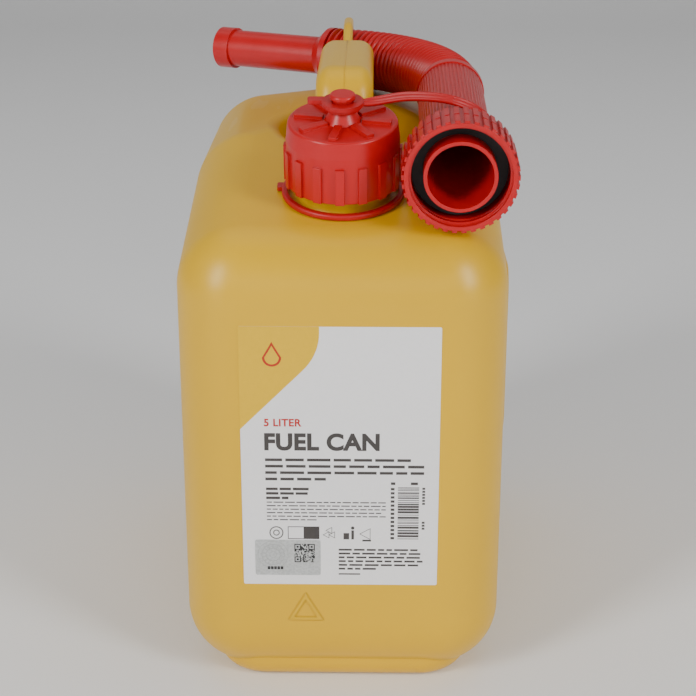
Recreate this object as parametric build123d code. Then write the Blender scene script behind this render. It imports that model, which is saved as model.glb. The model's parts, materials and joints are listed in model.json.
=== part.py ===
from build123d import *
import os
from math import sin, cos, tan, radians, sqrt

# Safety gas can: hollow blow-moulded tank with a centre handle, a child-resistant
# screw cap held by a tether, and a flexible pouring spout stored across the top.
# Millimetres. X to the right, +Y to the rear, +Z up, exported with the origin at the base centre.

# ---- driving dimensions ----
WIDTH = 149.0
DEPTH = 245.0
TOP_Z = 238.0
SHOULDER_Z = 212.0
TOP_TILT = 13.0
WALL = 2.0
ROUND = 30.0
CROWN_DROP = 5.0
CROWN_FLAT = 10.0
FOOT_W = 121.0
FOOT_LONG = 228.0
FOOT_H = 3.0
FOOT_ROUND = 10.0
# every height in this script is from a datum this far above the floor
DATUM = 10.0
FRONT_Y = -DEPTH / 2
REAR_Y = DEPTH / 2

# handle
GRIP_W = 27.0
GRIP_TOP = 270.0
GRIP_THICK = 24.0
GRIP_FRONT = FRONT_Y + 75.5
POST_FOOT = FRONT_Y + 83.2
GRIP_REAR = FRONT_Y + 183
WEB_T = 4.8
WEB_TOP = 275.0

# neck and cap, measured along the neck axis down from the cap's top plane
CAP_TOP = (0, FRONT_Y + 45, 254.0)
CAP_H = 29.0
CAP_R = 25.6
RIB_R = 26.7
SKIN_R = 23.4
INNER_R = 23.1
INNER_BORE = 21.9
NECK_R = 20.6
THREAD_R = 21.6
THREAD_PITCH = 6.0
NECK_BORE = 18.8
LIP_S = 7.5
PLATFORM_S = (CAP_TOP[2] - SHOULDER_Z - 20 * tan(radians(TOP_TILT))) * cos(radians(TOP_TILT))

# spout, on a route that starts at the nut's mouth
NUT_MOUTH = (51.0, FRONT_Y + 9, 236.5)
TUBE_END = (51.5, FRONT_Y + 131, 250.6)
HOSE_Z = 254.0
HOSE_TAIL = 14.0
NUT_R = 25.4
NUT_L = 20.0
NUT_BORE = 22.4
TUBE_R = 16.0
TUBE_BORE = 14.3
HOSE_R = 15.5
HOSE_BORE = 13.3
BEND_R = 86.0
BEND = 63.0
PIPE_R = 10.0
PIPE_BORE = 8.4
PIPE_L = 60.0
# finger hollow below the grip
SCOOP_X = 42.0
SCOOP_Y = 50.0
SCOOP_Z = 52.0
SCOOP_MID = FRONT_Y + 131.0
SCOOP_HEIGHT = 264.0
SCOOP_RIM = 8.0

NECK = Plane(origin=CAP_TOP, x_dir=(1, 0, 0),
             z_dir=(0, -sin(radians(TOP_TILT)), cos(radians(TOP_TILT))))


def ring(outer, inner, low, high):
    """Plain ring about local Z between two heights."""
    body = Pos(0, 0, low) * Cylinder(outer, high - low, align=(Align.CENTER, Align.CENTER, Align.MIN))
    hole = Pos(0, 0, low - 1) * Cylinder(inner, high - low + 2,
                                         align=(Align.CENTER, Align.CENTER, Align.MIN))
    return body - hole


def disc(radius, low, high):
    """Plain disc about local Z between two heights."""
    return Pos(0, 0, low) * Cylinder(radius, high - low, align=(Align.CENTER, Align.CENTER, Align.MIN))


def side_sheet(points, width):
    """Outline in the Y-Z plane given as (Y, Z), made a slab across X."""
    outline = make_face(Plane.YZ * Polyline(*points, close=True))
    return extrude(outline, amount=width / 2, both=True)


# ---- tank ----
def tank_core():
    """The tank shrunk by its edge radius, so that an offset rounds every edge."""
    slope = tan(radians(TOP_TILT))
    half = WIDTH / 2 - ROUND
    front = FRONT_Y + ROUND
    rear = REAR_Y - ROUND
    low = FOOT_H + ROUND - DATUM
    top = TOP_Z - ROUND
    at_front = SHOULDER_Z + (front - FRONT_Y - 25) * slope - ROUND / cos(radians(TOP_TILT))
    flat_start = front + (top - at_front) / slope
    outline = [(front, low), (front, at_front), (flat_start, top), (rear - 10, top),
               (rear, top - 8), (rear, low)]
    slab = side_sheet(outline, 2 * half)
    arch = [(-half, low), (-half, top - CROWN_DROP), (-CROWN_FLAT, top), (CROWN_FLAT, top),
            (half, top - CROWN_DROP), (half, low)]
    crown = extrude(make_face(Plane.XZ * Polyline(*arch, close=True)), amount=DEPTH, both=True)
    return slab & crown


def tank_form(inset):
    """Solid tank form, moved inwards by the inset."""
    core = tank_core()
    body = offset(core, amount=ROUND - inset)
    foot = extrude(RectangleRounded(FOOT_W - 2 * inset, FOOT_LONG - 2 * inset, 24 - inset),
                   amount=FOOT_H + 10 - inset)
    foot = fillet(foot.faces().sort_by(Axis.Z)[0].edges(), FOOT_ROUND - inset)
    foot = Pos(0, 0, inset - DATUM) * foot
    hollowed = body + foot - scoop(inset)
    rim = [e for e in hollowed.edges() if on_scoop(e, inset)]
    return fillet(rim, SCOOP_RIM + inset / 2)


def scoop(inset):
    """Soft finger hollow under the grip."""
    pocket = scale(Sphere(1), by=(SCOOP_X + inset, SCOOP_Y + inset, SCOOP_Z + inset))
    return Pos(0, SCOOP_MID, SCOOP_HEIGHT) * pocket


def on_scoop(edge, inset):
    """True for an edge that lies on the finger hollow's surface."""
    spots = [edge @ t for t in (0.1, 0.5, 0.9)]
    sizes = [(p.X / (SCOOP_X + inset)) ** 2 + ((p.Y - SCOOP_MID) / (SCOOP_Y + inset)) ** 2
             + ((p.Z - SCOOP_HEIGHT) / (SCOOP_Z + inset)) ** 2 for p in spots]
    return all(abs(size - 1) < 0.002 for size in sizes)


def handle_form(inset):
    """Grip and its two posts, as one rounded loop above the tank."""
    low = 205.0
    outer = [(POST_FOOT + inset, low), (GRIP_FRONT + inset, GRIP_TOP - inset),
             (GRIP_REAR - inset, GRIP_TOP - inset), (GRIP_REAR - inset, low)]
    loop = side_sheet(outer, GRIP_W - 2 * inset)
    loop = fillet(loop.edges().filter_by(Axis.X).sort_by(Axis.Z)[-2:], 16 - inset)
    long_edges = [e for e in loop.edges() if abs(abs(e.center().X) - (GRIP_W / 2 - inset)) < 0.01
                  and e.center().Z > low + 1]
    loop = fillet(long_edges, 7.5 - inset)
    gap_y0 = POST_FOOT + 17 - inset
    gap_y1 = GRIP_REAR - 20 + inset
    gap_z1 = GRIP_TOP - GRIP_THICK + inset
    gap = side_sheet([(gap_y0, low - 1), (gap_y0, gap_z1), (gap_y1, gap_z1), (gap_y1, low - 1)], 60)
    gap = fillet(gap.edges().filter_by(Axis.X).sort_by(Axis.Z)[-2:], 10 + inset)
    return loop - gap


def spout_loop():
    """Thin centre web that arches over the stored hose."""
    y0 = GRIP_REAR - 8
    outer = make_face(Plane.YZ * FilletPolyline(
        (y0, 225), (y0, GRIP_TOP - 4), (FRONT_Y + 196, WEB_TOP), (FRONT_Y + 222, WEB_TOP),
        (FRONT_Y + 238, 255), (FRONT_Y + 238, 222), radius=[0, 6, 14, 14, 14, 0], close=True))
    web = extrude(outer, amount=WEB_T / 2, both=True)
    long_edges = [e for e in web.edges() if abs(abs(e.center().X) - WEB_T / 2) < 0.01
                  and e.center().Z > 226]
    return fillet(long_edges, WEB_T / 2 - 0.3)


def loop_window():
    """Opening of the web that the hose lies in."""
    outline = Plane.YZ * FilletPolyline(
        (FRONT_Y + 190, 230), (FRONT_Y + 190, 270.4), (FRONT_Y + 230, 270.4), (FRONT_Y + 230, 230),
        radius=[0, 14, 14, 0], close=True)
    return extrude(make_face(outline), amount=WEB_T, both=True)


def neck_thread():
    """Raised thread ridge that winds up the neck below its lip."""
    path = Helix(pitch=THREAD_PITCH, height=THREAD_PITCH * 1.6, radius=NECK_R)
    proud = THREAD_R - NECK_R
    outline = Polygon((-proud, -1.5), (proud, -0.7), (proud, 0.7), (-proud, 1.5), align=None)
    section = Plane(origin=path @ 0, x_dir=(1, 0, 0), z_dir=path % 0) * outline
    return NECK * Pos(0, 0, -LIP_S - 3.4 - THREAD_PITCH * 1.6) * sweep(section, path=path, is_frenet=True)


def side_panel():
    """Low raised panel on the right-hand wall."""
    panel = Pos(WIDTH / 2, -10, 146) * Box(2.4, 150, 84)
    panel = fillet(panel.edges().filter_by(Axis.X), 12)
    return chamfer(panel.faces().sort_by(Axis.X)[-1].edges(), 1.1)


def front_mark():
    """Raised plain outline triangle that can be felt low on the front face."""
    side = 16.5
    line = 1.7
    outer = RegularPolygon(side / sqrt(3), 3, rotation=90)
    inner = RegularPolygon(side / sqrt(3) - 2 * line, 3, rotation=90)
    face = Plane(origin=(-16.5, FRONT_Y + 0.5, 32.5), x_dir=(1, 0, 0), z_dir=(0, -1, 0)) * (outer - inner)
    return extrude(face, amount=1.2)


def can_body():
    outside = tank_form(0) + handle_form(0)
    outside = outside + NECK * disc(NECK_R, -PLATFORM_S - 12, -LIP_S)
    outside = outside + NECK * Pos(0, 0, -PLATFORM_S - 1.5) * Cone(25, NECK_R, 4.6)
    outside = outside + neck_thread()
    inside = tank_form(WALL) + handle_form(WALL + 0.4)
    inside = inside + NECK * disc(NECK_BORE, -PLATFORM_S - 14, 1)
    can = outside + (spout_loop() - loop_window()) + side_panel() + front_mark()
    return can - inside


# ---- cap ----
def cap_shell():
    """Outer turning shell: skirt with grip ribs, radial ribs and centre button."""
    outer = disc(CAP_R, -CAP_H, 0)
    outer = chamfer(outer.faces().sort_by(Axis.Z)[-1].edges(), 8, 1.0)
    outer = fillet(outer.faces().sort_by(Axis.Z)[-1].edges(), 1.2)
    for i in range(16):
        rib = Pos(CAP_R - 0.6, 0, -CAP_H) * Box(2 * (RIB_R - CAP_R) + 1.2, 4.0, CAP_H - 12,
                                                 align=(Align.CENTER, Align.CENTER, Align.MIN))
        outer = outer + Rot(0, 0, i * 22.5 - 2) * rib
    for i in range(8):
        bar = Pos(15.5, 0, 0.7) * Box(13, 3.6, 1.6)
        outer = outer + Rot(0, 0, i * 45 - 90 - 10.7) * bar
    outer = outer + Pos(0, 0, 2.9) * Cone(8.4, 4.8, 6.2)
    outer = outer + disc(8.0, 5.8, 7.0) + disc(4.5, 6.5, 11.0) + button_head()
    return outer - disc(SKIN_R, -CAP_H - 1, -2.0)


def button_head():
    """Rounded head that keeps the tether's eyelet on its stem."""
    head = disc(5.7, 10.6, 12.7)
    return fillet(head.faces().sort_by(Axis.Z)[-1].edges(), 1.0)


def cap_inner():
    """Inner threaded cap that the shell turns when it is pressed down."""
    cup = disc(INNER_R, -CAP_H + 1.5, -3.8)
    return cup - disc(INNER_BORE, -CAP_H, -5.9)


def cap_gasket():
    return disc(INNER_BORE - 0.2, -LIP_S + 0.05, -5.9)


# ---- spout ----
def route():
    """Centre line of the spout: straight tube, bent hose with a straight tail, then pipe."""
    start = Vector(*NUT_MOUTH)
    end = Vector(*TUBE_END)
    straight = Line(start, end)
    flat = Vector(end.X - start.X, end.Y - start.Y, 0).normalized()
    rise = Vector(0, 0, 1)
    left = rise.cross(flat)
    turn = radians(BEND)
    level_end = Vector(end.X, end.Y, HOSE_Z)
    far = level_end + flat * (BEND_R * sin(turn)) + left * (BEND_R * (1 - cos(turn)))
    way = flat * cos(turn) + left * sin(turn)
    along = (end - start).normalized()
    bend = Spline(end, far, tangents=[along, way])
    tail_end = far + way * HOSE_TAIL
    hose = Curve() + [bend, Line(far, tail_end)]
    return straight, hose, tail_end, way


def along_plane(origin, direction):
    return Plane(origin=origin, z_dir=direction, x_dir=Vector(0, 0, 1).cross(direction))


def spout_parts():
    straight, hose, tail_end, way = route()
    mouth = along_plane(straight @ 0, straight % 0)
    tube_len = straight.length
    parts = {}
    nut = disc(NUT_R - 1.0, 0, NUT_L)
    for i in range(38):
        tooth = Pos(NUT_R - 1.2, 0, 0) * Box(2.4, 2.2, NUT_L - 0.6,
                                              align=(Align.CENTER, Align.CENTER, Align.MIN))
        nut = nut + Rot(0, 0, i * 360 / 38) * (Pos(0, 0, 0.3) * tooth)
    nut = nut - disc(NUT_BORE, -1, NUT_L - 3.0) - disc(TUBE_R + 0.35, -1, NUT_L + 1)
    nut = nut - ring(NUT_R + 3, NUT_R - 0.95, 9.2, 10.4)
    nut = nut + ring(NUT_BORE + 0.5, NUT_BORE - 1.1, 2.6, 4.0)
    parts["spout_nut"] = mouth * nut
    flange = ring(21.0, TUBE_BORE, 13.2, 16.6)
    flange = flange + ring(TUBE_R, TUBE_BORE, 0.8, tube_len - 1.5)
    collar = ring(TUBE_R + 0.7, TUBE_BORE, tube_len - 4.5, tube_len)
    parts["spout_base_tube"] = mouth * (flange + collar)
    parts["spout_gasket"] = mouth * ring(21.0, TUBE_R, 11.0, 13.2)
    start = along_plane(hose @ 0, hose % 0)
    parts["spout_hose"] = sweep(start * (Circle(HOSE_R) - Circle(HOSE_BORE)), path=hose)
    tip = along_plane(tail_end, way)
    pipe = ring(HOSE_R, PIPE_BORE, 0, 3) + ring(PIPE_R, PIPE_BORE, 0, PIPE_L + 12)
    pipe = pipe + ring(PIPE_R + 1.2, PIPE_BORE, PIPE_L + 3.0, PIPE_L + 12)
    shoulder = Pos(0, 0, 6) * Cone(HOSE_R, PIPE_R, 6) - disc(PIPE_BORE, 0, 12)
    parts["spout_nozzle_pipe"] = tip * (pipe + shoulder)
    parts["tether_spout_ring"] = mouth * ring(TUBE_R + 4.2, TUBE_R + 0.5, NUT_L + 0.8, NUT_L + 4.8)
    return parts


# ---- tether ----
def tether_neck_ring():
    """Loose ring round the neck under the cap, with a small nub on its left."""
    low = -PLATFORM_S + 0.3
    band = ring(28.0, 25.4, low, low + 2.8)
    band = fillet(band.edges().filter_by(GeomType.CIRCLE).sort_by(SortBy.RADIUS)[-2:], 1.0)
    nub = Pos(-28.6, 3, low + 0.4) * Box(3.2, 5.0, 2.0, align=(Align.CENTER, Align.CENTER, Align.MIN))
    return NECK * (band + fillet(nub.edges().filter_by(Axis.Z), 0.9))


def tether_eyelet():
    """Flat eyelet under the button, with a pull tab."""
    eye = ring(9.3, 4.9, 7.3, 9.3)
    tab = Pos(-11.6, 2.2, 7.3) * Box(8.0, 4.6, 2.0, align=(Align.CENTER, Align.CENTER, Align.MIN))
    return NECK * (eye + fillet(tab.edges().filter_by(Axis.Z), 1.4))


def strap(points, start_way, end_way):
    """Flat flexible strap along a hand-set route."""
    path = Spline(*points, tangents=[start_way, end_way])
    face = along_plane(path @ 0, path % 0) * RectangleRounded(4.4, 2.0, 0.7)
    return sweep(face, path=path)


def tether_straps():
    eye = NECK.from_local_coords(Vector(9.7, 1.0, 8.3))
    top = Vector(TUBE_END[0], FRONT_Y + 60, 260.9)
    hook = Vector(NUT_MOUTH[0] + 12.5, FRONT_Y + 35.2, 255.9)
    cap_strap = strap([eye, Vector(29, FRONT_Y + 53, 266.0), top, hook],
                      Vector(1, 0.12, 0.05), Vector(0.55, -0.72, -0.42))
    neck = NECK.from_local_coords(Vector(28.8, 2.0, -PLATFORM_S + 1.8))
    under = Vector(NUT_MOUTH[0] - 18.4, FRONT_Y + 36.2, 229.0)
    neck_strap = strap([neck, under], Vector(0.7, 0.2, 0.6), Vector(0.3, -0.75, 0.55))
    return cap_strap, neck_strap


# ---- labels ----
def front_label():
    sheet = extrude(RectangleRounded(89, 126, 0.8), amount=0.2)
    return Plane(origin=(-0.5, FRONT_Y - 0.02, 109.5), x_dir=(1, 0, 0), z_dir=(0, -1, 0)) * sheet


def security_sticker():
    sheet = extrude(RectangleRounded(30, 18, 1.0), amount=0.12)
    return Plane(origin=(-24.5, FRONT_Y - 0.24, 60.3), x_dir=(1, 0, 0), z_dir=(0, -1, 0)) * sheet


def main():
    os.makedirs("parts", exist_ok=True)
    cap_strap, neck_strap = tether_straps()
    parts = {
        "can_body": can_body(),
        "front_label": front_label(),
        "security_sticker": security_sticker(),
        "cap_shell": NECK * cap_shell(),
        "cap_inner": NECK * cap_inner(),
        "cap_gasket": NECK * cap_gasket(),
        "tether_neck_ring": tether_neck_ring(),
        "tether_eyelet": tether_eyelet(),
        "tether_cap_strap": cap_strap,
        "tether_neck_strap": neck_strap,
    }
    parts.update(spout_parts())
    for name, shape in parts.items():
        shape = Pos(0, 0, DATUM) * shape
        box = shape.bounding_box()
        print(name, "valid", shape.is_valid, "solids", len(shape.solids()),
              "volume", round(shape.volume), "box", box.min, box.max)
        export_step(shape, f"parts/{name}.step")


main()
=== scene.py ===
# %% [markdown]
# # A moulded safety gas can
# The can is one hollow blow-moulded piece with a handle along its middle. A screw cap with a
# tether closes it, and a bendy pouring spout is stored across its top. The CAD frame already
# holds every rigid piece at its true size, so this lesson gives those pieces their finishes, and
# models what CAD left plain: the corrugated hose, the straps, the nut's thread and the label's print.

# %% Tools and the fixed frame
import json
import math
import random

import bmesh
import bpy
from mathutils import Matrix, Vector


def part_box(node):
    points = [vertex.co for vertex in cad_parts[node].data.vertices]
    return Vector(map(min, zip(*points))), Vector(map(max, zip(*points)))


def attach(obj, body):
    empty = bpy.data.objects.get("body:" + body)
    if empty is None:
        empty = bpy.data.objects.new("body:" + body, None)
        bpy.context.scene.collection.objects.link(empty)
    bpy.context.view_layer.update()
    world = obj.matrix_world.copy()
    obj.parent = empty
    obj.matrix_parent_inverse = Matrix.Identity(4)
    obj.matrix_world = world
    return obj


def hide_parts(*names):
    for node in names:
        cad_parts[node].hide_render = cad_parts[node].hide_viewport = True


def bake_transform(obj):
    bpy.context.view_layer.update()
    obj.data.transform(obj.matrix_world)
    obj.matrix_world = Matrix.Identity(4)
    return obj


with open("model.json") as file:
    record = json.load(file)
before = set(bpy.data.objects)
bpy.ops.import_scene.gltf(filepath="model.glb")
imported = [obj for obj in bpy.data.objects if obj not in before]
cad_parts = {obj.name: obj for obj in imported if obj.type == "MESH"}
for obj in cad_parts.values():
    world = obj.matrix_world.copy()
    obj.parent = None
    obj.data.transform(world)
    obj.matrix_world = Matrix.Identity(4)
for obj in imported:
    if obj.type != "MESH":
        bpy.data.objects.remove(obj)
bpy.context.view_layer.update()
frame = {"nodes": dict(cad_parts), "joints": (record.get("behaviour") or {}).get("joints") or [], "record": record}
random.seed(11)
MM = 0.001

# %% Places that the frame gives
joints = {joint["name"]: joint for joint in frame["joints"]}
mounts = {mount["name"]: mount for mount in frame["record"]["mounts"]}
JOINT_INSET = 10  # millimetres from each of these joints to the cap's top or the nut's mouth
NECK_WAY = Vector(joints["cap_spin"]["axis"])
CAP_TOP = Vector(joints["cap_spin"]["pos_m"]) + NECK_WAY * JOINT_INSET * MM
TUBE_WAY = Vector(joints["nut_spin"]["axis"])
NUT_MOUTH = Vector(joints["nut_spin"]["pos_m"]) - TUBE_WAY * JOINT_INSET * MM
PIPE_WAY = Vector(mounts["nozzle_tip"]["axis"])
can_low, can_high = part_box("can_body")
label_low, label_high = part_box("front_label")
sticker_low, sticker_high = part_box("security_sticker")
print("cap top", [round(c, 4) for c in CAP_TOP], "nut mouth", [round(c, 4) for c in NUT_MOUTH])

# %% [markdown]
# ## Small helpers
# A finished piece keeps its object at the origin with its place in its mesh. Each piece starts as
# a bmesh, and this helper turns it into an object, rides it on its body and gives it its finish.


# %% A piece from a bmesh
def new_piece(name, bm, material, body, smooth=True):
    """Makes an object of a bmesh and lets it ride a body of the frame, if one is named."""
    mesh = bpy.data.meshes.new(name)
    bm.to_mesh(mesh)
    bm.free()
    mesh.polygons.foreach_set("use_smooth", [smooth] * len(mesh.polygons))
    mesh.materials.append(material)
    piece = bpy.data.objects.new(name, mesh)
    bpy.context.scene.collection.objects.link(piece)
    if body:
        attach(piece, body)
    print(name, len(mesh.polygons), "faces")
    return piece


def local_frame(origin, way, up=Vector((0, 0, 1))):
    """A matrix whose Z lies along way, whose Y leans towards up, placed at origin."""
    z = way.normalized()
    x = up.cross(z).normalized()
    y = z.cross(x)
    return Matrix.Translation(origin) @ Matrix((x, y, z)).transposed().to_4x4()


# %% [markdown]
# ## Shader maths as sums
# A procedural finish is mostly arithmetic on textures. One small class wraps a socket, so that
# `1 - mask` or `dust * 0.3 + base` adds its Math nodes, and one method adds every other node.


# %% The socket class and the finish class
class Value:
    """A number socket that can be used in Python sums."""

    def __init__(self, finish, socket):
        self.finish = finish
        self.socket = socket

    def maths(self, operation, first, second):
        return self.finish.node("Math", {"operation": operation}, {0: first, 1: second})

    def __add__(self, other):
        return self.maths("ADD", self, other)

    __radd__ = __add__

    def __sub__(self, other):
        return self.maths("SUBTRACT", self, other)

    def __rsub__(self, other):
        return self.maths("SUBTRACT", other, self)

    def __mul__(self, other):
        return self.maths("MULTIPLY", self, other)

    __rmul__ = __mul__

    def __gt__(self, other):
        return self.maths("GREATER_THAN", self, other)


class Finish:
    """A node material with one Principled shader, whose nodes are added by one method."""

    def __init__(self, name, **constants):
        self.material = bpy.data.materials.new(name)
        self.material.use_nodes = True
        self.tree = self.material.node_tree
        self.shader = self.tree.nodes["Principled BSDF"]
        for socket, value in constants.items():
            self.shader.inputs[socket.replace("_", " ")].default_value = value
        self.place = self.node("TexCoord", out="Object")

    def node(self, kind, settings=None, inputs=None, out=0):
        made = self.tree.nodes.new("ShaderNode" + kind)
        for name, value in (settings or {}).items():
            setattr(made, name, value)
        for name, value in (inputs or {}).items():
            self.feed(made.inputs[name], value)
        return Value(self, made.outputs[out])

    def feed(self, socket, value):
        if isinstance(value, Value):
            self.tree.links.new(value.socket, socket)
        else:
            socket.default_value = value

    def noise(self, scale, detail=3.0, stretch=(1, 1, 1)):
        """Noise in the object's own metres: scale 100 gives features about 1 cm wide."""
        spread = self.node("Mapping", {}, {"Vector": self.place, "Scale": stretch})
        return self.node("TexNoise", {}, {"Vector": spread, "Scale": scale, "Detail": detail})

    def colour(self, low, high, factor):
        mixed = self.node("Mix", {"data_type": "RGBA"},
                          {"Factor": factor, 6: (*low, 1), 7: (*high, 1)}, out=2)
        self.feed(self.shader.inputs["Base Color"], mixed)

    def relief(self, *layers, soften=0.0):
        """Bump layers, each a height, a strength and a distance, over softened edges."""
        normal = None
        if soften:
            normal = self.node("Bevel", {"samples": 4}, {"Radius": soften})
        for height, strength, distance in layers:
            inputs = {"Height": height, "Strength": strength, "Distance": distance}
            if normal:
                inputs["Normal"] = normal
            normal = self.node("Bump", {}, inputs)
        self.feed(self.shader.inputs["Normal"], normal)

    def rough(self, value):
        self.feed(self.shader.inputs["Roughness"], value)


# %% [markdown]
# ## The yellow tank
# Blow-moulded polyethylene is satin and slightly waxy. The mould was blasted, so the skin has a
# very fine grain, and the wall sank a little unevenly as it cooled, which makes the highlights
# wander. Handling leaves faint long rubs that are shinier than the grain around them.


# %% Yellow polyethylene
def yellow_tank(name, soften):
    skin = Finish(name, IOR=1.5, Specular_IOR_Level=0.45)
    blotch = skin.noise(9, 2)
    rub = skin.noise(40, 4, (1, 0.25, 3)) > 0.66
    grain = skin.noise(2400, 2)
    sink = skin.noise(26, 1)
    skin.colour((0.66, 0.375, 0.000), (0.75, 0.435, 0.000), blotch)
    skin.rough(0.31 + blotch * 0.08 - rub * 0.05)
    skin.relief((sink, 0.10, 2 * MM), (grain, 0.16, 0.08 * MM), soften=soften)
    return skin.material


can_yellow = yellow_tank("can_yellow", 1.6 * MM)
seam_yellow = yellow_tank("seam_yellow", 0.05 * MM)

# %% [markdown]
# ## Red injection-moulded plastic
# The cap, nut and spout are stiffer red plastic from polished tools, so they are glossier than
# the tank. Faint flow marks run through the colour. The tether is a softer grade: duller, and a
# little waxy. One function makes all of them, with the gloss and the grain as its arguments.


# %% Red plastics
def red_plastic(name, low, high, roughness, grain_depth, soften):
    moulded = Finish(name, IOR=1.5)
    flow = moulded.noise(70, 3, (1, 1, 0.35))
    speck = moulded.noise(900, 2)
    scuff = moulded.noise(150, 5, (1, 4, 1)) > 0.64
    moulded.colour(low, high, flow)
    moulded.rough(roughness + flow * 0.08 + scuff * 0.07)
    moulded.relief((flow, 0.10, 0.6 * MM), (speck, 0.20, grain_depth), soften=soften)
    return moulded.material


cap_red = red_plastic("cap_red", (0.46, 0.000, 0.002), (0.56, 0.001, 0.004),
                      0.30, 0.06 * MM, 0.45 * MM)
spout_red = red_plastic("spout_red", (0.44, 0.000, 0.002), (0.54, 0.001, 0.004),
                        0.27, 0.05 * MM, 0.40 * MM)
tether_red = red_plastic("tether_red", (0.40, 0.001, 0.003), (0.50, 0.002, 0.005),
                         0.38, 0.07 * MM, 0.30 * MM)


# %% Black seal rubber
def seal_rubber():
    rubber = Finish("seal_black", IOR=1.45)
    dust = rubber.noise(420, 4)
    rubber.colour((0.006, 0.006, 0.006), (0.030, 0.028, 0.027), dust)
    rubber.rough(0.52 + dust * 0.25)
    rubber.relief((dust, 0.35, 0.08 * MM), soften=0.25 * MM)
    return rubber.material


seal_black = seal_rubber()

# %% [markdown]
# ## Label film, inks and the foil sticker
# The label is printed white film with a soft sheen, which ripples slightly where it bridges the
# moulded wall. Inks lie flat on it and share its sheen. The foil sticker is a metal layer under
# clear film, so its colour shifts in a fine cell pattern.


# %% Printed finishes
def printed(name, low, high, roughness):
    film = Finish(name, IOR=1.48)
    fibre = film.noise(600, 3)
    ripple = film.noise(30, 1)
    film.colour(low, high, fibre)
    film.rough(roughness + ripple * 0.08)
    film.relief((ripple, 0.10, 0.8 * MM), (fibre, 0.10, 0.03 * MM))
    return film.material


def foil():
    silver = Finish("sticker_silver", Metallic=0.55, IOR=1.48)
    cells = silver.node("TexVoronoi", {"feature": "F1"}, {"Vector": silver.place, "Scale": 900})
    haze = silver.noise(120, 2)
    silver.colour((0.42, 0.43, 0.42), (0.66, 0.67, 0.66), cells * 0.7 + haze * 0.4)
    silver.rough(0.34 + haze * 0.16)
    silver.relief((cells, 0.15, 0.03 * MM))
    return silver.material


label_white = printed("label_white", (0.80, 0.78, 0.77), (0.85, 0.83, 0.82), 0.36)
ink_yellow = printed("ink_yellow", (0.70, 0.415, 0.000), (0.77, 0.465, 0.001), 0.36)
ink_red = printed("ink_red", (0.42, 0.008, 0.004), (0.50, 0.012, 0.008), 0.34)
ink_grey = printed("ink_grey", (0.040, 0.034, 0.032), (0.060, 0.052, 0.048), 0.34)
ink_black = printed("ink_black", (0.012, 0.012, 0.012), (0.025, 0.025, 0.025), 0.32)
ink_pale = printed("ink_pale", (0.34, 0.35, 0.34), (0.42, 0.43, 0.42), 0.30)
sticker_silver = foil()

# %% Finishes for the CAD nodes
finish_of = {
    "body_yellow": can_yellow, "label_white": label_white, "sticker_silver": sticker_silver,
    "cap_red": cap_red, "tether_red": tether_red, "spout_red": spout_red, "seal_black": seal_black,
}
for part in frame["record"]["subparts"]:
    mesh = frame["nodes"][part["node"]].data
    mesh.materials.clear()
    mesh.materials.append(finish_of[part["material_slot"]])
print("finished CAD nodes", len(frame["nodes"]))

# %% [markdown]
# ## The corrugated hose
# A bendy spout is a thin tube blown into rings. A zigzag profile is spun round an axis to make a
# straight hose, and then each point is carried onto the bent route, as the real one is bent by
# hand. The route starts where the smooth tube ends, turns level, and runs straight into the pipe.

# %% The hose's route
TUBE_LONG = 123.0 * MM
HOSE_TAIL = 14.0 * MM
BEND_R = 86.0 * MM
BEND_ANGLE = math.radians(63)
HOSE_LEVEL = 264.0 * MM
HOSE_R = 15.5 * MM
HOSE_WALL = 0.9 * MM
RING_PITCH = 3.8 * MM
RING_DEPTH = 2.3 * MM
hose_start = NUT_MOUTH + TUBE_WAY * TUBE_LONG
level_way = Vector((TUBE_WAY.x, TUBE_WAY.y, 0)).normalized()
left_way = Vector((0, 0, 1)).cross(level_way)
hose_far = (Vector((hose_start.x, hose_start.y, HOSE_LEVEL))
            + level_way * BEND_R * math.sin(BEND_ANGLE)
            + left_way * BEND_R * (1 - math.cos(BEND_ANGLE)))


def bend_point(t):
    """Cubic from the tube's end to the straight tail, leaving and arriving in line."""
    chord = (hose_far - hose_start).length
    leave, arrive = TUBE_WAY * chord, PIPE_WAY * chord
    return (hose_start * (2 * t**3 - 3 * t**2 + 1) + leave * (t**3 - 2 * t**2 + t)
            + hose_far * (3 * t**2 - 2 * t**3) + arrive * (t**3 - t**2))


STEPS = 300
bend = [bend_point(i / STEPS) for i in range(STEPS + 1)]
reach = [0.0]
for here, there in zip(bend, bend[1:]):
    reach.append(reach[-1] + (there - here).length)
HOSE_LONG = reach[-1] + HOSE_TAIL
print("hose length mm", round(HOSE_LONG / MM, 1))


def hose_frame(distance):
    """Frame on the hose's centre line at a distance from its start."""
    if distance >= reach[-1]:
        return local_frame(hose_far + PIPE_WAY * (distance - reach[-1]), PIPE_WAY)
    i = max(1, next(n for n, d in enumerate(reach) if d > distance or n == STEPS))
    t = (distance - reach[i - 1]) / (reach[i] - reach[i - 1])
    spot = bend[i - 1].lerp(bend[i], t)
    return local_frame(spot, bend[min(i + 1, STEPS)] - bend[max(i - 2, 0)])


# %% Spin the corrugations and bend them
RINGS = round(HOSE_LONG / RING_PITCH)
PER_RING = 8


def ring_radius(distance):
    """Rounded crests with narrower valleys between them."""
    wave = 0.5 - 0.5 * math.cos(2 * math.pi * distance / HOSE_LONG * RINGS)
    return HOSE_R - RING_DEPTH + RING_DEPTH * wave**0.55


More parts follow.
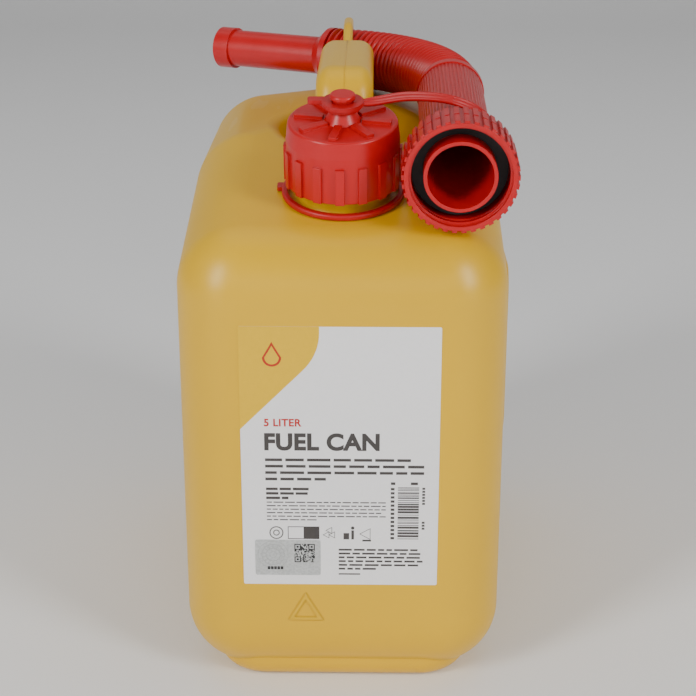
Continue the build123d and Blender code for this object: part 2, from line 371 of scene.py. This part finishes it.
def corrugated_hose():
    bm = bmesh.new()
    count = RINGS * PER_RING
    outer = [bm.verts.new((ring_radius(HOSE_LONG * i / count), 0, HOSE_LONG * i / count))
             for i in range(count + 1)]
    inner = [bm.verts.new((ring_radius(HOSE_LONG * i / count) - HOSE_WALL, 0, HOSE_LONG * i / count))
             for i in range(count, -1, -1)]
    loop = outer + inner
    edges = [bm.edges.new((a, b)) for a, b in zip(loop, loop[1:] + loop[:1])]
    bmesh.ops.spin(bm, geom=loop + edges, cent=(0, 0, 0), axis=(0, 0, 1), angle=2 * math.pi,
                   steps=72, use_merge=True)
    bmesh.ops.remove_doubles(bm, verts=bm.verts, dist=0.001 * MM)
    bmesh.ops.recalc_face_normals(bm, faces=bm.faces)
    for vert in bm.verts:
        vert.co = hose_frame(vert.co.z) @ Vector((vert.co.x, vert.co.y, 0))
    return bm


hose = new_piece("corrugated_hose", corrugated_hose(), spout_red, "spout")
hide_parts("spout_hose")

# %% [markdown]
# ## Fine flutes on the smooth tube
# The straight part of the spout has fine lengthwise lines. They are too shallow to change its
# outline, so a thin fluted sleeve over the tube shows them.


# %% The fluted sleeve
FLUTES = 56
CREST_R = 16.20
VALLEY_R = 16.05
SLEEVE_FOOT_R = 16.01


def fluted_sleeve():
    bm = bmesh.new()
    made = bmesh.ops.create_circle(bm, cap_ends=False, segments=FLUTES * 4, radius=CREST_R * MM)
    for i, vert in enumerate(made["verts"]):
        if i % 4 in (0, 1):
            vert.co *= VALLEY_R / CREST_R
    rim = bm.edges[:]
    low, high = 26.5 * MM, TUBE_LONG - 5.0 * MM
    bmesh.ops.translate(bm, verts=bm.verts, vec=(0, 0, low))
    grown = bmesh.ops.extrude_edge_only(bm, edges=rim)["geom"]
    raised = [v for v in grown if isinstance(v, bmesh.types.BMVert)]
    bmesh.ops.translate(bm, verts=raised, vec=(0, 0, high - low))
    ends = [edge for edge in bm.edges if edge.is_boundary]
    for level in (low, high):
        here = [e for e in ends if abs(e.verts[0].co.z - level) < 1e-6]
        inward = bmesh.ops.extrude_edge_only(bm, edges=here)["geom"]
        for vert in (v for v in inward if isinstance(v, bmesh.types.BMVert)):
            scale = SLEEVE_FOOT_R * MM / math.hypot(vert.co.x, vert.co.y)
            vert.co.x *= scale
            vert.co.y *= scale
    rims = [edge for edge in bm.edges if edge.is_boundary]
    bmesh.ops.bridge_loops(bm, edges=rims)
    bmesh.ops.recalc_face_normals(bm, faces=bm.faces)
    bmesh.ops.transform(bm, matrix=local_frame(NUT_MOUTH, TUBE_WAY), verts=bm.verts)
    return bm


new_piece("tube_flutes", fluted_sleeve(), spout_red, "spout", smooth=False)

# %% [markdown]
# ## Sweeping a section along a path
# Straps, threads and mould seams are all one small section carried along a line. The section's
# edges are extruded once for each station, and the new edge loop is moved on by the step between
# two frames.


# %% The sweep
def sweep(outline, stations):
    """Extrudes a closed outline, given in millimetres, through a list of frames."""
    bm = bmesh.new()
    ring = [bm.verts.new(stations[0] @ Vector((x * MM, y * MM, 0))) for x, y in outline]
    front = [bm.edges.new((a, b)) for a, b in zip(ring, ring[1:] + ring[:1])]
    for before, after in zip(stations, stations[1:]):
        grown = bmesh.ops.extrude_edge_only(bm, edges=front)["geom"]
        moved = [g for g in grown if isinstance(g, bmesh.types.BMVert)]
        front = [g for g in grown if isinstance(g, bmesh.types.BMEdge)
                 and g.verts[0] in moved and g.verts[1] in moved]
        bmesh.ops.transform(bm, matrix=after @ before.inverted(), verts=moved)
    bmesh.ops.holes_fill(bm, edges=[e for e in bm.edges if e.is_boundary], sides=0)
    bmesh.ops.recalc_face_normals(bm, faces=bm.faces)
    return bm


def smooth_line(points, steps=14):
    """Catmull-Rom curve through given points."""
    ends = [2 * points[0] - points[1]] + points + [2 * points[-1] - points[-2]]
    line = []
    for a, b, c, d in zip(ends, ends[1:], ends[2:], ends[3:]):
        for i in range(steps):
            t = i / steps
            line.append(0.5 * (2 * b + (c - a) * t + (2 * a - 5 * b + 4 * c - d) * t**2
                               + (3 * b - a - 3 * c + d) * t**3))
    return line + [points[-1]]


def frames_along(line, up=Vector((0, 0, 1))):
    ways = [(b - a) for a, b in zip(line[:1] + line, line[1:] + line[-1:])]
    return [local_frame(spot, way, up) for spot, way in zip(line, ways)]


# %% [markdown]
# ## The tether's straps
# The tether is one soft moulding: a ring on the neck, a ring on the spout, an eyelet on the cap,
# and flat straps with two shallow grooves between them. A strap bends when the cap or the spout
# leaves its place, but here each visible strap is swept once in its resting shape and rides no body.

# %% Strap section and routes
STRAP = [(-2.1, -0.9), (2.1, -0.9), (2.3, 0.0), (2.1, 0.7), (1.7, 0.95), (1.25, 0.95), (1.05, 0.55),
         (0.65, 0.55), (0.45, 0.95), (-0.45, 0.95), (-0.65, 0.55), (-1.05, 0.55), (-1.25, 0.95),
         (-1.7, 0.95), (-2.1, 0.7), (-2.3, 0.0)]
FRONT = can_low.y + 0.7 * MM


def at(x, behind, high):
    """A point from millimetres right, behind the front face, and above the floor."""
    return Vector((x * MM, FRONT + behind * MM, high * MM))


PLATFORM = 36.4
EYELET_RISE = 8.3
SPOUT_RING_ALONG = 23.6
eye_exit = CAP_TOP + NECK_WAY * EYELET_RISE * MM + Vector((8.6 * MM, 0, 0))
strap_line = smooth_line([eye_exit, eye_exit + Vector((5.0, 0.4, 0.5)) * MM, at(27, 48.5, 273.8),
                          at(40, 52.5, 272.9), at(49.5, 53.0, 271.3), at(57.5, 48.5, 269.0),
                          at(62.2, 41.5, 266.6), at(63.1, 35.4, 264.6),
                          NUT_MOUTH + TUBE_WAY * SPOUT_RING_ALONG * MM + Vector((12.1, 0, 14.6)) * MM])
strap_up = [Vector((0.1, -0.25 - min(1.0, i / 26) * 0.75, 1.0)) for i in range(len(strap_line))]
strap_frames = [frames_along(strap_line[max(0, i - 1):i + 2], up)[min(i, 1)]
                for i, up in enumerate(strap_up)]
half = len(strap_line) // 2
cap_strap = new_piece("strap_from_cap", sweep(STRAP, strap_frames[:half + 1]), tether_red,
                      None)
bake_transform(cap_strap)
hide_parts("tether_cap_strap")
spout_strap = new_piece("strap_to_spout", sweep(STRAP, strap_frames[half:]), tether_red,
                        None)
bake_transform(spout_strap)

# %% The short strap from the neck ring
ring_exit = CAP_TOP - NECK_WAY * (PLATFORM - 1.8) * MM + Vector((27.4, 2.0, 0)) * MM
ring_hook = NUT_MOUTH + TUBE_WAY * SPOUT_RING_ALONG * MM + Vector((-16.9, 0, -8.8)) * MM
link_line = smooth_line([ring_exit, ring_exit + Vector((3.4, -1.0, 2.2)) * MM,
                         ring_hook + Vector((-1.5, 9.0, -2.5)) * MM, ring_hook])
neck_strap = new_piece("strap_neck_to_spout", sweep(STRAP, frames_along(link_line)), tether_red,
                       None)
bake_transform(neck_strap)
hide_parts("tether_neck_strap")

# %% [markdown]
# ## Threads
# The nut's inner thread is a low ridge that winds round its bore. A helix is a sweep whose frames
# turn and climb together.


# %% The nut's inner thread
def helix_frames(base, radius, lead, turns, steps=60):
    frames = []
    for i in range(int(turns * steps) + 1):
        angle = 2 * math.pi * i / steps
        spot = Vector((radius * math.cos(angle), radius * math.sin(angle), lead * i / steps))
        way = Vector((-math.sin(angle), math.cos(angle), lead / (2 * math.pi * radius)))
        outward = Vector((math.cos(angle), math.sin(angle), 0))
        frames.append(base @ local_frame(spot, way, outward))
    return frames


THREAD = [(-1.3, 0.25), (-0.5, -0.75), (0.5, -0.75), (1.3, 0.25)]
nut_thread = sweep(THREAD, helix_frames(local_frame(NUT_MOUTH + TUBE_WAY * 4.2 * MM, TUBE_WAY),
                                        22.3 * MM, 5.0 * MM, 0.95))
new_piece("nut_thread", nut_thread, spout_red, "nut")

# %% [markdown]
# ## Mould marks
# Where the two mould halves met, a fine line runs over the handle in the middle plane. It climbs
# the leaning front of the handle, follows its rounded brow and runs back along the grip, so two
# straight stretches and one arc describe it, and a thin bead is swept along them.


# %% The parting line over the handle
def parting_line():
    grip_top = can_high.z / MM - 5.0
    brow_y, brow_round = 75.5, 16.0
    lean = math.atan2(7.7, 65.0)
    tangent = brow_round * math.tan((math.pi / 2 + lean) / 2)
    centre_y, centre_z = brow_y + tangent, grip_top - brow_round
    low = 34.0
    line = [at(0, brow_y + low * math.tan(lean), grip_top - low)]
    for k in range(17):
        turn = math.pi + lean - (math.pi / 2 + lean) * k / 16
        line.append(at(0, centre_y + brow_round * math.cos(turn),
                       centre_z + brow_round * math.sin(turn)))
    return line + [at(0, 130, grip_top), at(0, 168, grip_top)]


BEAD = [(0.30 * math.cos(a), 0.22 * math.sin(a)) for a in (math.pi * k / 4 for k in range(8))]
seam = parting_line()
new_piece("handle_parting_line", sweep(BEAD, frames_along(seam, Vector((1, 0, 0)))), seam_yellow,
          "can")

# %% [markdown]
# ## The label's print
# All of the print is laid out in millimetres from the label's top left corner, x to the right and
# y down. Each ink is one bmesh of small flat shapes, which is given a hair's thickness and stood
# on the label. The words are plain ones, the long texts are only bars, and the marks are generic.

# %% Flat shapes in label millimetres
INK_THICK = 0.03


def bar(bm, x, y, wide, tall):
    place = Matrix.Translation((x + wide / 2, -y - tall / 2, 0)) @ Matrix.Diagonal((wide, tall, 1, 1))
    bmesh.ops.create_grid(bm, x_segments=1, y_segments=1, size=0.5, matrix=place)


def disc(bm, x, y, radius, segments=40):
    bmesh.ops.create_circle(bm, cap_ends=True, segments=segments, radius=radius,
                            matrix=Matrix.Translation((x, -y, 0)))


def hoop(bm, x, y, radius, line, segments=40, turn=0.0):
    place = Matrix.Translation((x, -y, 0)) @ Matrix.Rotation(turn, 4, "Z")
    edges = []
    for size in (radius, radius - line):
        made = bmesh.ops.create_circle(bm, cap_ends=False, segments=segments, radius=size, matrix=place)
        edges += list({e for v in made["verts"] for e in v.link_edges})
    bmesh.ops.bridge_loops(bm, edges=edges)


def drop(bm, x, y, radius):
    made = bmesh.ops.create_circle(bm, cap_ends=True, segments=48, radius=radius)
    for vert in made["verts"]:
        rise = max(0.0, vert.co.y / radius)
        vert.co.x *= (1 - rise) ** 0.55 if rise < 1 else 0.0
        vert.co.y += radius * 0.75 * rise**2
    bmesh.ops.translate(bm, verts=made["verts"], vec=(x, -y, 0))


def lines_of_text(bm, x, y, wide, pitch, tall, count, word=(2.0, 7.0), gap=1.0):
    """Rows of short bars that stand for small print."""
    for row in range(count):
        across = 0.0
        end = wide if row < count - 1 else wide * 0.45
        while across < end - word[0]:
            long = min(random.uniform(*word), end - across)
            bar(bm, x + across, y + row * pitch, long, tall)
            across += long + gap


def lay_ink(bm, name, material, base_low, base_high):
    """Stands the flat shapes on the sheet whose box is given."""
    bmesh.ops.solidify(bm, geom=bm.faces[:], thickness=INK_THICK)
    bmesh.ops.recalc_face_normals(bm, faces=bm.faces)
    nearest = min(v.co.z for v in bm.verts)
    bmesh.ops.translate(bm, verts=bm.verts, vec=(0, 0, -nearest))
    corner = Matrix.Translation((base_low.x, base_low.y, base_high.z))
    upright = corner @ Matrix.Rotation(math.pi / 2, 4, "X")
    bmesh.ops.transform(bm, matrix=upright @ Matrix.Scale(MM, 4), verts=bm.verts)
    return new_piece(name, bm, material, "can", smooth=False)


# %% The yellow corner
def yellow_corner():
    bm = bmesh.new()
    across, bend_y, round_r = 35.5, 2.7, 24.9
    arc = [math.radians(a) for a in range(0, 46, 5)]
    curve = [(across - round_r * (1 - math.cos(a)), -bend_y - round_r * math.sin(a)) for a in arc]
    start = curve[-1]
    corner = (0.0, start[1] - start[0])
    outline = [(0, 0), (across, 0)] + curve + [corner]
    print("corner reaches mm", round(-corner[1], 1))
    face = bm.faces.new([bm.verts.new((x, y, 0)) for x, y in outline])
    face.normal_update()
    return bm


lay_ink(yellow_corner(), "print_yellow_corner", ink_yellow, label_low, label_high)


# %% Words from the plain built-in font
def word_mesh(words, tall, x, y, weight, spread=1.05):
    """Adds a word as flat faces to a new bmesh, with its capitals as tall as asked."""
    curve = bpy.data.curves.new(words, "FONT")
    curve.body = words
    curve.offset = weight
    curve.space_character = spread
    holder = bpy.data.objects.new(words, curve)
    bpy.context.scene.collection.objects.link(holder)
    bpy.context.view_layer.update()
    mesh = bpy.data.meshes.new_from_object(holder.evaluated_get(bpy.context.evaluated_depsgraph_get()))
    bm = bmesh.new()
    bm.from_mesh(mesh)
    bpy.data.objects.remove(holder)
    bpy.data.curves.remove(curve)
    bpy.data.meshes.remove(mesh)
    bmesh.ops.remove_doubles(bm, verts=bm.verts, dist=1e-5)
    high = max(v.co.y for v in bm.verts)
    low = min(v.co.y for v in bm.verts)
    left = min(v.co.x for v in bm.verts)
    scale = tall / (high - low)
    bmesh.ops.translate(bm, verts=bm.verts, vec=(-left, -high, 0))
    bmesh.ops.scale(bm, verts=bm.verts, vec=(scale, scale, 1))
    bmesh.ops.translate(bm, verts=bm.verts, vec=(x, -y, 0))
    return bm


lay_ink(word_mesh("5 LITER", 3.7, 10.6, 43.4, 0.030), "print_volume", ink_red, label_low, label_high)
lay_ink(word_mesh("FUEL CAN", 8.6, 10.6, 50.2, 0.042), "print_name", ink_grey, label_low, label_high)


# %% Small print, bars and plain marks in grey
def grey_print():
    bm = bmesh.new()
    lines_of_text(bm, 10.8, 62.6, 71.5, 3.15, 1.35, 4, (5, 11), 1.4)
    lines_of_text(bm, 11.0, 77.0, 22.5, 2.25, 1.25, 3, (3, 8), 0.8)
    lines_of_text(bm, 11.2, 84.0, 54.0, 1.75, 0.55, 6, (1.6, 4.5), 0.7)
    lines_of_text(bm, 43.8, 107.6, 38.5, 1.95, 0.95, 6, (2.4, 6.5), 1.0)
    lines_of_text(bm, 43.8, 120.2, 22.0, 2.0, 0.7, 1, (9, 11), 1.0)
    hoop(bm, 15.4, 99.6, 3.2, 0.5)
    hoop(bm, 15.4, 99.6, 1.5, 0.45)
    bar(bm, 20.6, 96.4, 7.2, 0.35)
    bar(bm, 20.6, 102.4, 7.2, 0.35)
    bar(bm, 20.6, 96.4, 0.35, 6.35)
    bar(bm, 27.8, 96.4, 7.2, 6.35)
    for turn in (math.radians(90), math.radians(-30), math.radians(210)):
        hoop(bm, 39.8 + 1.5 * math.cos(turn), 99.8 - 1.5 * math.sin(turn), 2.0, 0.45, 3, turn)
    bar(bm, 46.0, 99.6, 2.6, 3.2)
    bar(bm, 49.6, 98.2, 1.2, 4.6)
    disc(bm, 50.2, 97.0, 0.8, 20)
    hoop(bm, 56.6, 100.0, 3.4, 0.5, 3, math.radians(90))
    bar(bm, 54.6, 102.9, 4.0, 0.9)
    return bm


def barcode():
    bm = bmesh.new()
    y = 76.5
    while y < 103.0:
        tall = random.choice((0.35, 0.35, 0.7, 1.05))
        bar(bm, 70.6, y, 9.6, tall)
        y += tall + random.choice((0.3, 0.4, 0.7))
    bar(bm, 67.4, 74.0, 2.0, 1.3)
    bar(bm, 76.4, 74.0, 3.2, 1.3)
    for k in range(13):
        bar(bm, 67.4, 76.8 + k * 2.05, 1.7, 1.2)
    for k in range(9):
        bar(bm, 81.6, 76.6 + k * 1.5 + (k > 5) * 8, 1.3, 1.0)
    return bm


lay_ink(grey_print(), "print_small", ink_grey, label_low, label_high)
lay_ink(barcode(), "print_barcode", ink_grey, label_low, label_high)


# %% A plain drop in the yellow corner
def drop_mark(radius):
    bm = bmesh.new()
    drop(bm, 14.6, 14.4, radius)
    return bm


lay_ink(drop_mark(4.2), "print_drop_edge", ink_red, label_low - Vector((0, 0.03 * MM, 0)), label_high)
lay_ink(drop_mark(3.2), "print_drop_fill", ink_yellow, label_low - Vector((0, 0.06 * MM, 0)), label_high)


# %% The foil sticker's pattern
CODE_CELLS = 19
CODE_SIDE = 9.4


def square_code():
    bm = bmesh.new()
    last = CODE_CELLS - 1
    cell = CODE_SIDE / CODE_CELLS
    for row in range(CODE_CELLS):
        for column in range(CODE_CELLS):
            corner = min(row, last - row) < 6 and min(column, last - column) < 6 and row + column < 27
            near = max(abs(row % 13 - 2.5), abs(column % 13 - 2.5))
            filled = (near > 2 or near < 1) if corner else random.random() < 0.5
            if filled:
                bar(bm, 18.0 + column * cell, 2.0 + row * cell, cell, cell)
    lines_of_text(bm, 5.6, 13.6, 16.5, 2, 1.5, 1, (1.2, 1.2), 0.3)
    return bm


def rosette():
    bm = bmesh.new()
    for radius in (1.6, 3.4, 5.2, 7.0):
        hoop(bm, 8.2, 7.6, radius, 0.16, 48)
    for k in range(14):
        turn = 2 * math.pi * k / 14
        hoop(bm, 8.2 + 4.3 * math.cos(turn), 7.6 + 4.3 * math.sin(turn), 1.3, 0.12, 20)
    return bm


lay_ink(square_code(), "sticker_pattern", ink_black, sticker_low, sticker_high)
lay_ink(rosette(), "sticker_rosette", ink_pale, sticker_low, sticker_high)

# %% [markdown]
# ## Floor, lights and camera
# The can stands on a pale sweep that curves up behind it. Two tall soft boxes in front, left and
# right, put a soft highlight on each shoulder. A weak wide one in front fills the label, and a weak
# one above keeps the top from going dull. The camera looks down at twenty degrees, a little to the
# right of the middle.


# %% The sweep
def studio_sweep():
    floor = Finish("studio_paper", Roughness=0.75, IOR=1.4)
    cloud = floor.noise(3, 2)
    floor.colour((0.88, 0.88, 0.88), (0.90, 0.90, 0.90), cloud)
    bm = bmesh.new()
    bmesh.ops.create_grid(bm, x_segments=1, y_segments=1, size=0.5,
                          matrix=Matrix.Translation((0, 0.4, 0)) @ Matrix.Diagonal((9, 6, 1, 1)))
    back = [e for e in bm.edges if all(v.co.y > 3 for v in e.verts)]
    wall = bmesh.ops.extrude_edge_only(bm, edges=back)["geom"]
    risen = [v for v in wall if isinstance(v, bmesh.types.BMVert)]
    bmesh.ops.translate(bm, verts=risen, vec=(0, 0, 4))
    bend_edges = [e for e in bm.edges if all(v.co.y > 3 and v.co.z < 0.01 for v in e.verts)]
    bmesh.ops.bevel(bm, geom=bend_edges, offset=1.4, segments=16, profile=0.5, affect="EDGES",
                    material=-1)
    bmesh.ops.recalc_face_normals(bm, faces=bm.faces)
    piece = new_piece("studio_sweep", bm, floor.material, None)


studio_sweep()


# %% Lights
def soft_box(name, spot, aim, wide, tall, power):
    lamp = bpy.data.lights.new(name, "AREA")
    lamp.shape = "RECTANGLE"
    lamp.size = wide
    lamp.size_y = tall
    lamp.energy = power
    holder = bpy.data.objects.new(name, lamp)
    bpy.context.scene.collection.objects.link(holder)
    holder.location = spot
    holder.rotation_euler = (Vector(aim) - Vector(spot)).to_track_quat("-Z", "Y").to_euler()


centre = (0, 0, 0.13)
soft_box("left_box", (-1.5, -1.5, 1.1), centre, 0.6, 1.3, 34)
soft_box("right_box", (1.6, -1.4, 1.1), centre, 0.6, 1.3, 30)
soft_box("front_box", (0.2, -2.4, 0.9), centre, 1.8, 1.2, 7)
soft_box("top_box", (0, 0.5, 2.2), centre, 2.2, 1.6, 8)
world = bpy.data.worlds.new("studio")
bpy.context.scene.world = world
world.use_nodes = True
world.node_tree.nodes["Background"].inputs["Color"].default_value = (1, 1, 1, 1)
world.node_tree.nodes["Background"].inputs["Strength"].default_value = 0.26

# %% Camera
PITCH = math.radians(20)
TURN = math.radians(0.94)
CAMERA_RIGHT = 13.5
CAMERA_AHEAD = 636
CAMERA_HIGH = 404.2
lens = bpy.data.cameras.new("camera")
lens.sensor_width = 36
lens.lens = 80.2
camera = bpy.data.objects.new("camera", lens)
bpy.context.scene.collection.objects.link(camera)
camera.location = (CAMERA_RIGHT * MM, FRONT - CAMERA_AHEAD * MM, CAMERA_HIGH * MM)
camera.rotation_euler = (math.pi / 2 - PITCH, 0, TURN)
bpy.context.scene.camera = camera
